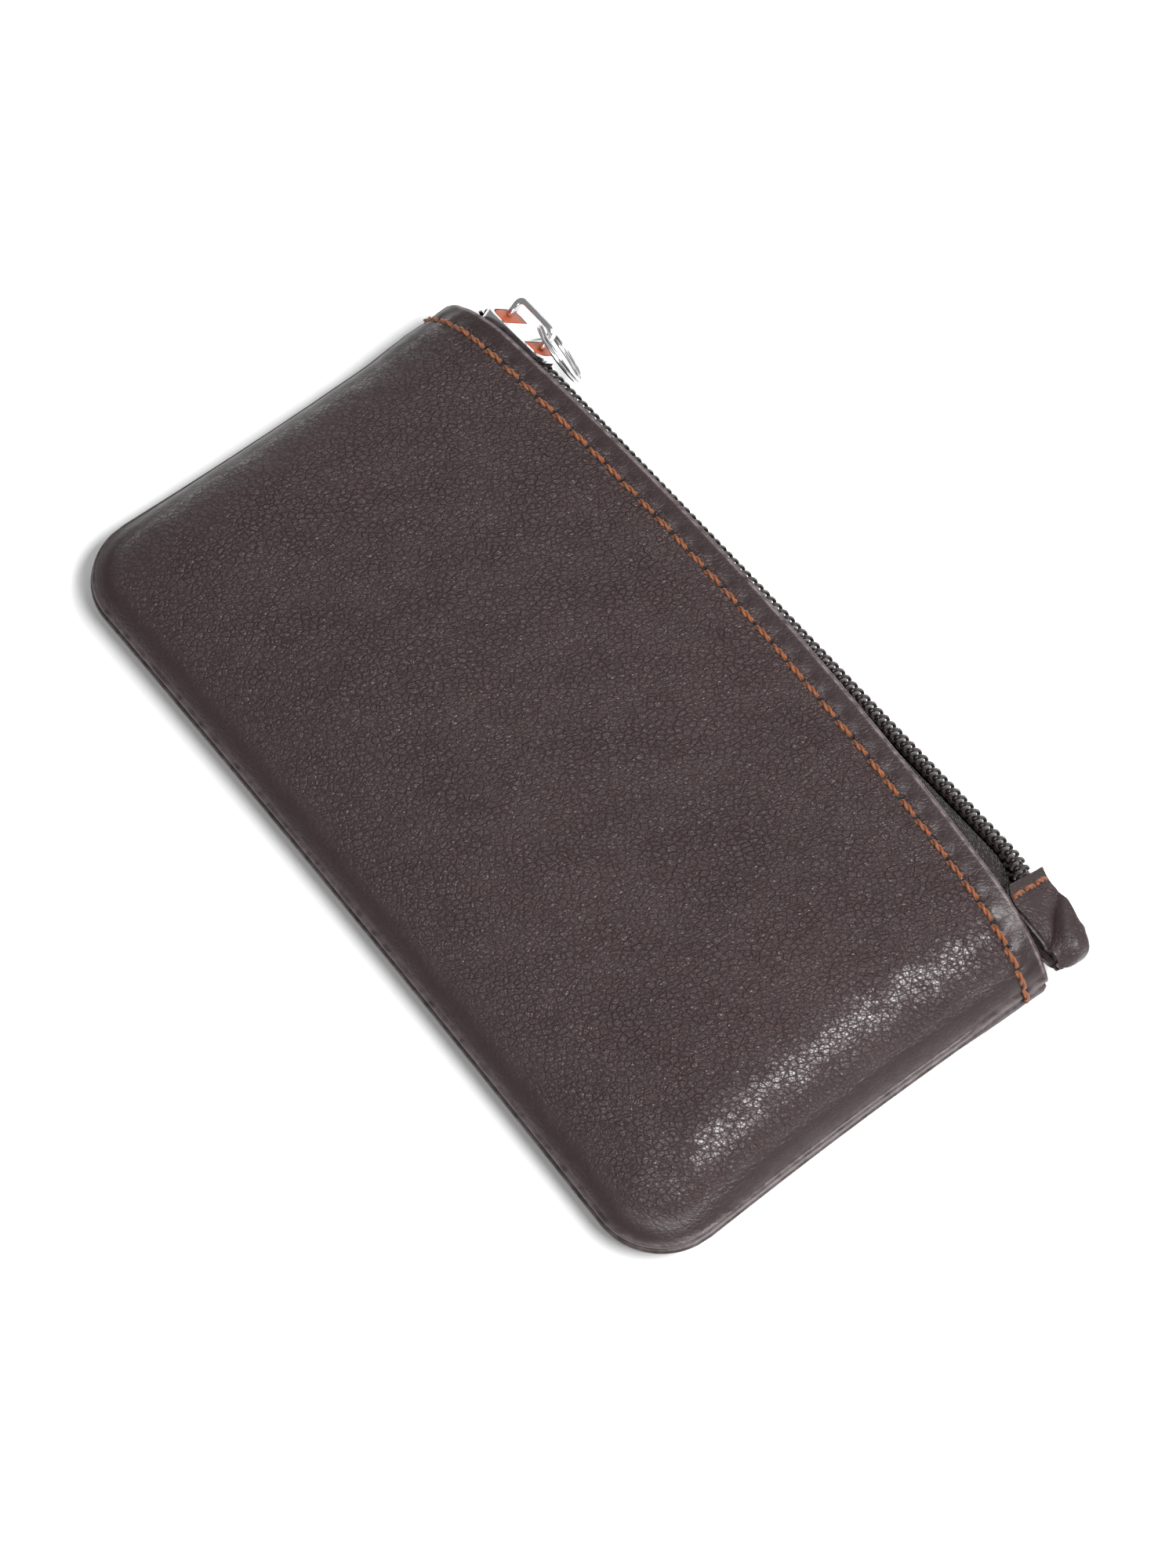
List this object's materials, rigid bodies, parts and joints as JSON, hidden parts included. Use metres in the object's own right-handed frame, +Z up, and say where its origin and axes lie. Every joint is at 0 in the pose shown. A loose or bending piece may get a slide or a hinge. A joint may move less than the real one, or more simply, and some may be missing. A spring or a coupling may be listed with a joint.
{
  "type": "zippered pouch",
  "caption": "Small flat leather pouch with turned seams, closed along its long edge by a coil zip with a ring pull and a leather end tab.",
  "frame": {"origin": "middle of the flat back, on the surface the pouch lies on, half way between the side seams", "axes": "+X along the zip from its closed end to its tab, +Y out of the mouth, +Z up through the front panel"},
  "size_m": [0.1215, 0.0713, 0.013],
  "materials": {
    "leather": "dark brown smooth leather with a fine pebble grain, satin",
    "lining": "plain woven lining, matt",
    "zip_tape": "woven polyester tape, matt",
    "zip_coil": "nylon coil, glossy",
    "thread": "twisted polyester thread, slight sheen",
    "plated_metal": "bright nickel plating",
    "inlay": "orange enamel, glossy"
  },
  "bodies": {
    "root": {"back_panel": "leather", "back_lining": "lining", "back_zip_tape": "zip_tape", "back_coil": "zip_coil", "back_mouth_thread": "thread", "seam_thread": "thread", "end_tab": "leather", "end_tab_thread": "thread"},
    "front_wall": {"front_panel": "leather", "front_lining": "lining", "front_zip_tape": "zip_tape", "front_coil": "zip_coil", "front_mouth_thread": "thread"},
    "slider": {"slider_body": "plated_metal", "slider_bridge": "plated_metal", "slider_inlay_front": "inlay", "slider_inlay_tail": "inlay"},
    "ring": {"pull_ring": "plated_metal"}
  },
  "joints": [
    {"name": "slider_travel", "type": "slide", "parent": "root", "child": "slider", "axis": [0.9995, 0.0332, 0], "range_m": [0, 0.0875]},
    {"name": "mouth_open", "type": "hinge", "parent": "root", "child": "front_wall", "pos_m": [0, -0.03, 0.0045], "axis": [1, 0, 0], "range_deg": [0, 15], "deforming": ["front_zip_tape", "front_coil"]},
    {"name": "ring_swing", "type": "hinge", "parent": "slider", "child": "ring", "pos_m": [-0.04627, 0.03701, 0.00985], "axis": [-0.1784, -0.8929, -0.4134], "range_deg": [-20, 90]}
  ],
  "couplings": [
    {"joint": "mouth_open", "follows": "slider_travel", "rad_per_m": 2.9}
  ]
}
